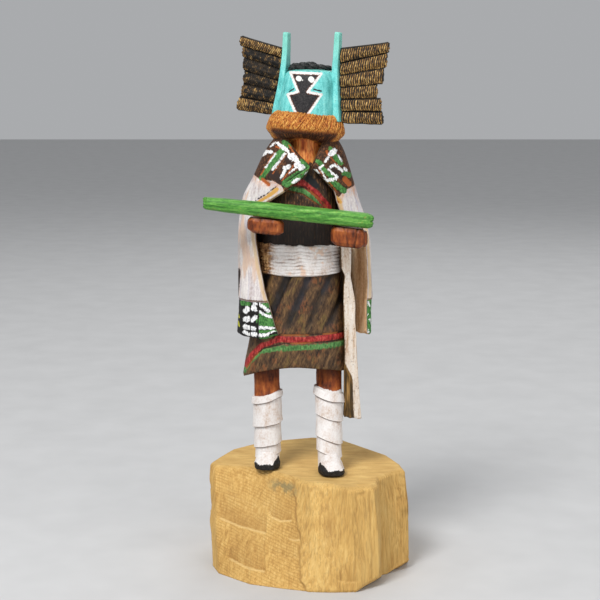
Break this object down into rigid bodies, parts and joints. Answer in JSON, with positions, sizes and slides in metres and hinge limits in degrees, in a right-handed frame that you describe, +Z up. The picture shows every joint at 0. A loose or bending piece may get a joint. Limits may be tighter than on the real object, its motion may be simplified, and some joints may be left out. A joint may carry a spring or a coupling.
{
  "type": "kachina doll",
  "caption": "Carved and painted wooden kachina doll with feathered wings at the mask, a shawl, a sash and a green bundle, standing on a rough-hewn wood block.",
  "frame": {"origin": "in the underside of the block, straight below the middle of its top", "axes": "+Z up, the doll faces -Y, +X is the doll's own left"},
  "size_m": [0.061, 0.0635, 0.1604],
  "materials": {
    "bare_wood": "pale tan root wood, knife-cut, unvarnished",
    "painted_figure": "carved wood painted in matt colours: white, dark brown, red, green, turquoise and bare red-brown skin",
    "turquoise_paint": "matt turquoise paint on wood",
    "dark_feather_wood": "scorched dark brown wood with golden cut barbs",
    "black_paint": "matt black paint",
    "green_paint": "streaked green paint on wood"
  },
  "bodies": {
    "root": {"block": "bare_wood", "figure": "painted_figure", "upright_right": "turquoise_paint", "upright_left": "turquoise_paint", "wing_right": "dark_feather_wood", "wing_left": "dark_feather_wood", "hair_tuft": "black_paint", "yucca_bundle": "green_paint"}
  },
  "joints": []
}
